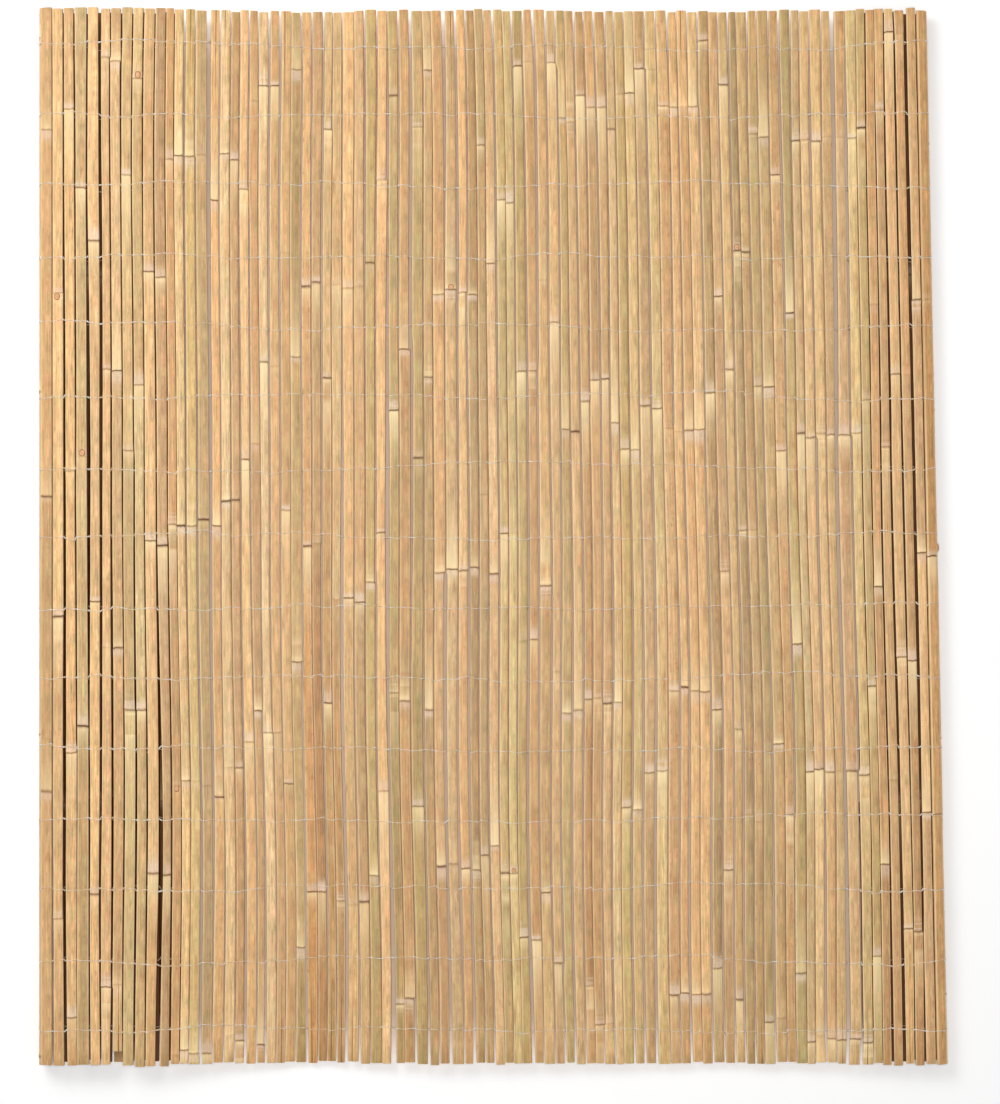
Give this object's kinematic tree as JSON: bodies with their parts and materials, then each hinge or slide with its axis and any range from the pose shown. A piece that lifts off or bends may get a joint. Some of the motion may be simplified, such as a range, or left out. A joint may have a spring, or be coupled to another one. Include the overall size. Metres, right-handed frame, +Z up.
{
  "type": "bamboo fence panel",
  "caption": "Screen of split bamboo slats laid side by side and bound with rows of galvanised wire, lying face up with both ends still turned under",
  "frame": {"origin": "on the ground under the middle of the lying panel, at the bottom centre of its box", "axes": "+X across the panel to its right end, +Y along the slats to their upper ends, +Z up, out of the skin side of the face"},
  "size_m": [1.2942, 1.5, 0.0371],
  "materials": {
    "bamboo": "dry split bamboo, satin skin side with fine fibre streaks",
    "galvanised_wire": "bright galvanised wire"
  },
  "bodies": {
    "root": {"left_flap_slats_01": "bamboo", "left_flap_slats_02": "bamboo", "left_flap_slats_03": "bamboo", "left_flap_slats_04": "bamboo", "left_turn_slats_01": "bamboo", "left_turn_slats_02": "bamboo", "face_slats_01": "bamboo", "face_slats_02": "bamboo", "face_slats_03": "bamboo", "face_slats_04": "bamboo", "face_slats_05": "bamboo", "face_slats_06": "bamboo", "face_slats_07": "bamboo", "face_slats_08": "bamboo", "face_slats_09": "bamboo", "face_slats_10": "bamboo", "face_slats_11": "bamboo", "face_slats_12": "bamboo", "face_slats_13": "bamboo", "face_slats_14": "bamboo", "face_slats_15": "bamboo", "face_slats_16": "bamboo", "face_slats_17": "bamboo", "face_slats_18": "bamboo", "face_slats_19": "bamboo", "face_slats_20": "bamboo", "face_slats_21": "bamboo", "face_slats_22": "bamboo", "face_slats_23": "bamboo", "face_slats_24": "bamboo", "face_slats_25": "bamboo", "face_slats_26": "bamboo", "face_slats_27": "bamboo", "face_slats_28": "bamboo", "face_slats_29": "bamboo", "face_slats_30": "bamboo", "face_slats_31": "bamboo", "face_slats_32": "bamboo", "face_slats_33": "bamboo", "right_turn_slats_01": "bamboo", "right_turn_slats_02": "bamboo", "right_flap_slats_01": "bamboo", "right_flap_slats_02": "bamboo", "right_flap_slats_03": "bamboo", "binding_wire_01": "galvanised_wire", "binding_wire_02": "galvanised_wire", "binding_wire_03": "galvanised_wire", "binding_wire_04": "galvanised_wire", "binding_wire_05": "galvanised_wire", "binding_wire_06": "galvanised_wire", "binding_wire_07": "galvanised_wire", "binding_wire_08": "galvanised_wire", "binding_wire_09": "galvanised_wire", "binding_wire_10": "galvanised_wire", "binding_wire_11": "galvanised_wire", "binding_wire_12": "galvanised_wire", "binding_wire_13": "galvanised_wire", "binding_wire_14": "galvanised_wire", "binding_wire_15": "galvanised_wire"}
  },
  "joints": []
}
